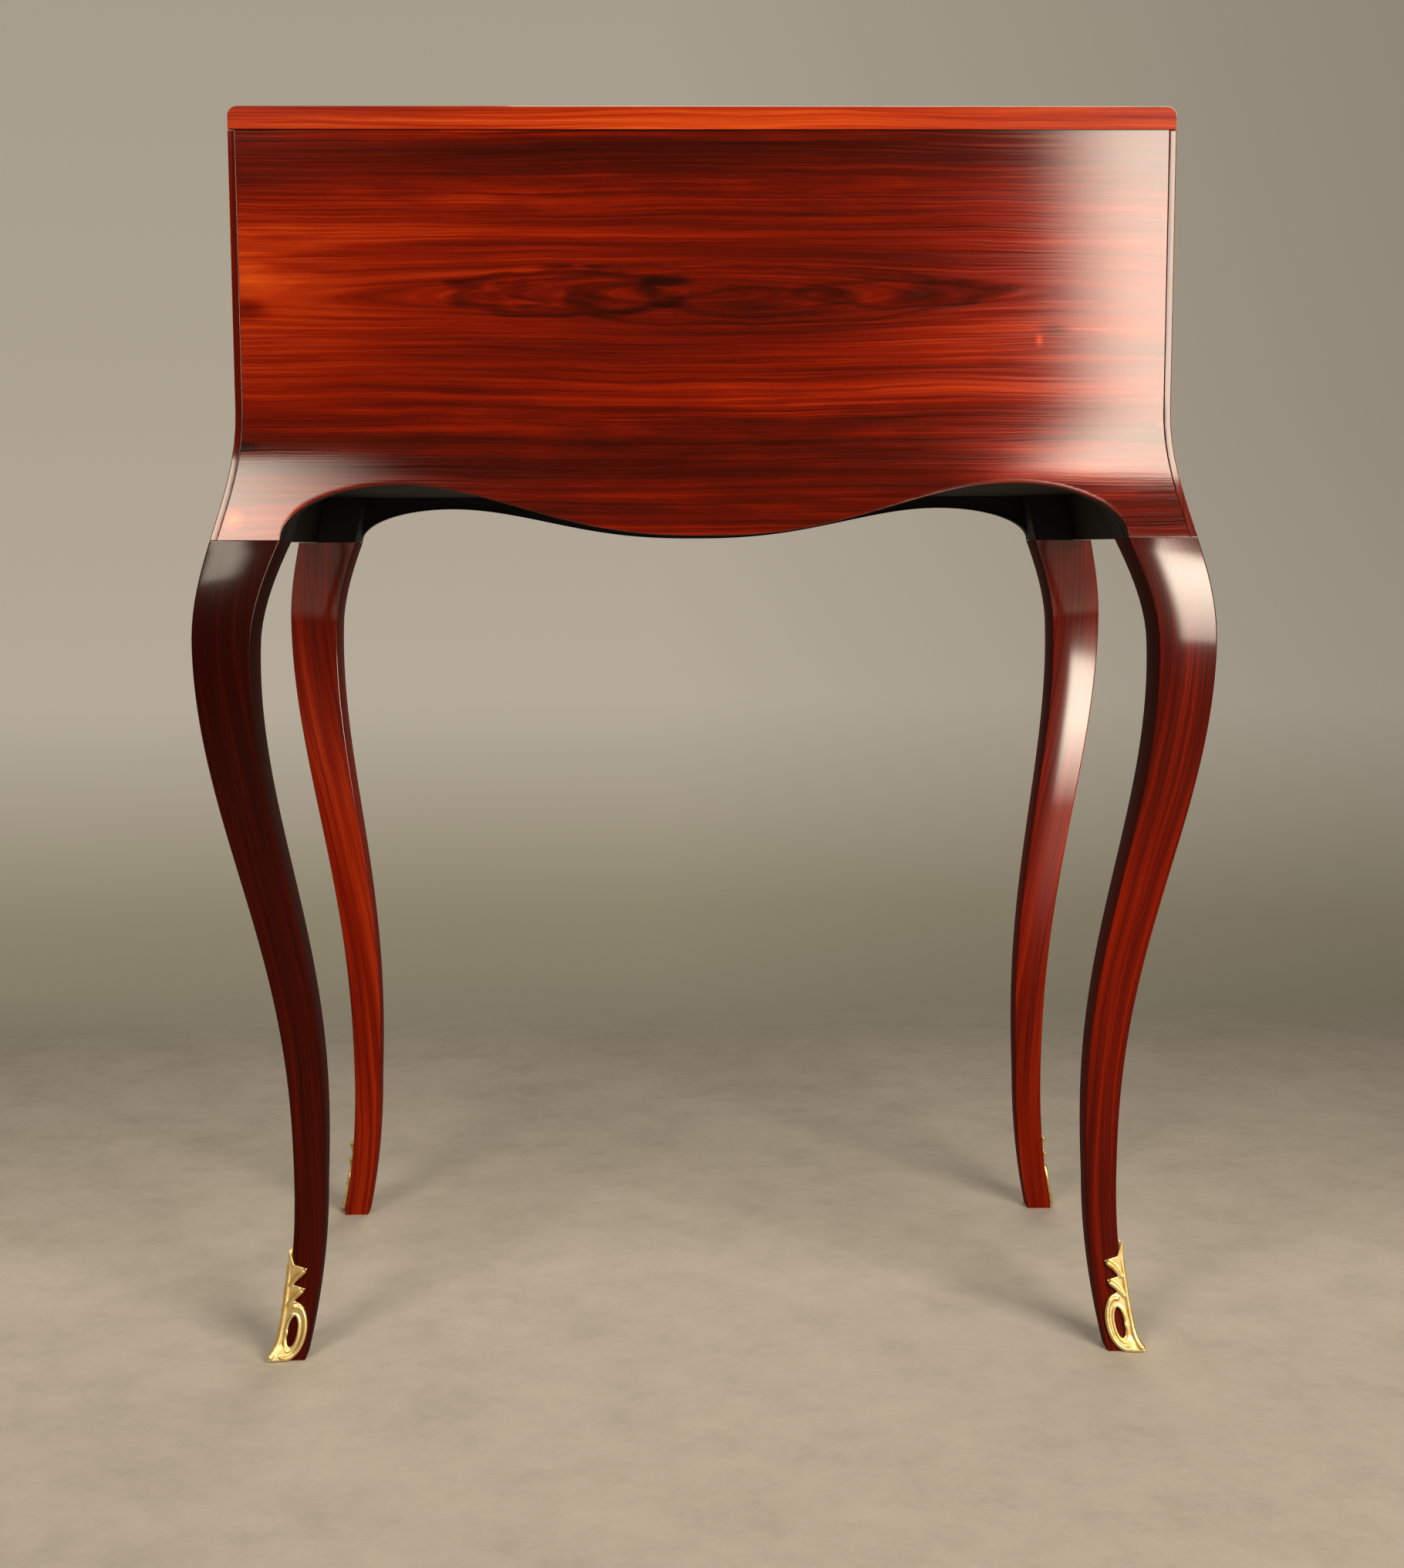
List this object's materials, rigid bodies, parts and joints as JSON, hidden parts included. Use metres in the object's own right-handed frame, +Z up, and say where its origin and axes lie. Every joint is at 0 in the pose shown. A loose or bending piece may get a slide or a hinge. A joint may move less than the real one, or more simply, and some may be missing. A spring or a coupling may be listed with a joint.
{
  "type": "slant-front desk",
  "caption": "Small slant-front writing desk on cabriole legs, with a lipped fall on butt hinges, pull-out lopers, a well with a sliding lid, pigeonholes, small drawers, a lock and gilt sabots.",
  "frame": {"origin": "on the floor, under the middle of the desk", "axes": "+Z up, -Y the front where the fall opens, +X the right of someone sitting at the desk"},
  "size_m": [0.762, 0.467, 0.9585],
  "materials": {
    "rosewood": "rosewood veneer, French polished",
    "carcass": "dark stained carcass wood, unpolished",
    "interior": "lighter rosewood, satin",
    "gilt": "gilt bronze, cast and chased",
    "brass": "polished brass, aged",
    "steel": "worn steel",
    "leather": "green skiver, waxed"
  },
  "bodies": {
    "case": {"leg_front_left": "rosewood", "leg_front_right": "rosewood", "leg_back_left": "rosewood", "leg_back_right": "rosewood", "sabot_front_left": "gilt", "sabot_front_right": "gilt", "sabot_back_left": "gilt", "sabot_back_right": "gilt", "back_panel": "rosewood", "side_panel_left": "rosewood", "side_panel_right": "rosewood", "top_board": "rosewood", "front_frieze": "rosewood", "case_floor": "carcass", "writing_bed": "interior", "hinge_left_bed_leaf": "brass", "hinge_left_pin": "steel", "hinge_right_bed_leaf": "brass", "hinge_right_pin": "steel", "loper_guide_left": "carcass", "loper_guide_right": "carcass", "unit_base": "interior", "unit_shelf": "interior", "unit_divider_left": "interior", "unit_divider_right": "interior", "letter_divider_left": "interior", "letter_divider_right": "interior", "drawer_rail_left": "interior", "drawer_rail_right": "interior"},
    "fall": {"fall_front": "rosewood", "fall_leather": "leather", "hinge_left_fall_leaf": "brass", "hinge_right_fall_leaf": "brass", "lock_case": "brass", "keyhole_plate": "gilt"},
    "key": {"key": "steel"},
    "bolt": {"lock_bolt": "steel"},
    "loper_left": {"loper_left": "rosewood", "loper_knob_left": "brass", "loper_stop_left": "carcass"},
    "loper_right": {"loper_right": "rosewood", "loper_knob_right": "brass", "loper_stop_right": "carcass"},
    "well_lid": {"well_lid": "interior"},
    "drawer_lower_left": {"drawer_front_lower_left": "rosewood", "drawer_tray_lower_left": "interior", "drawer_knob_lower_left": "brass"},
    "drawer_lower_right": {"drawer_front_lower_right": "rosewood", "drawer_tray_lower_right": "interior", "drawer_knob_lower_right": "brass"},
    "drawer_upper_left": {"drawer_front_upper_left": "rosewood", "drawer_tray_upper_left": "interior", "drawer_knob_upper_left": "brass"},
    "drawer_upper_right": {"drawer_front_upper_right": "rosewood", "drawer_tray_upper_right": "interior", "drawer_knob_upper_right": "brass"}
  },
  "joints": [
    {"name": "fall_hinge", "type": "hinge", "parent": "case", "child": "fall", "pos_m": [0, -0.2025, 0.757], "axis": [1, 0, 0], "range_deg": [0, 135.04]},
    {"name": "key_turn", "type": "hinge", "parent": "fall", "child": "key", "pos_m": [0, -0.04314, 0.91611], "axis": [0, -0.7065, 0.7077], "range_deg": [0, 180]},
    {"name": "bolt_slide", "type": "slide", "parent": "fall", "child": "bolt", "axis": [0, 0.7077, 0.7065], "range_m": [0, 0.012]},
    {"name": "loper_left_slide", "type": "slide", "parent": "case", "child": "loper_left", "axis": [0, -1, 0], "range_m": [0, 0.23]},
    {"name": "loper_right_slide", "type": "slide", "parent": "case", "child": "loper_right", "axis": [0, -1, 0], "range_m": [0, 0.23]},
    {"name": "well_lid_slide", "type": "slide", "parent": "case", "child": "well_lid", "axis": [0, 1, 0], "range_m": [0, 0.134]},
    {"name": "drawer_lower_left_slide", "type": "slide", "parent": "case", "child": "drawer_lower_left", "axis": [0, -1, 0], "range_m": [0, 0.095]},
    {"name": "drawer_lower_right_slide", "type": "slide", "parent": "case", "child": "drawer_lower_right", "axis": [0, -1, 0], "range_m": [0, 0.095]},
    {"name": "drawer_upper_left_slide", "type": "slide", "parent": "case", "child": "drawer_upper_left", "axis": [0, -1, 0], "range_m": [0, 0.095]},
    {"name": "drawer_upper_right_slide", "type": "slide", "parent": "case", "child": "drawer_upper_right", "axis": [0, -1, 0], "range_m": [0, 0.095]}
  ],
  "couplings": [
    {"joint": "key_turn", "follows": "bolt_slide", "rad_per_m": 261.8}
  ]
}
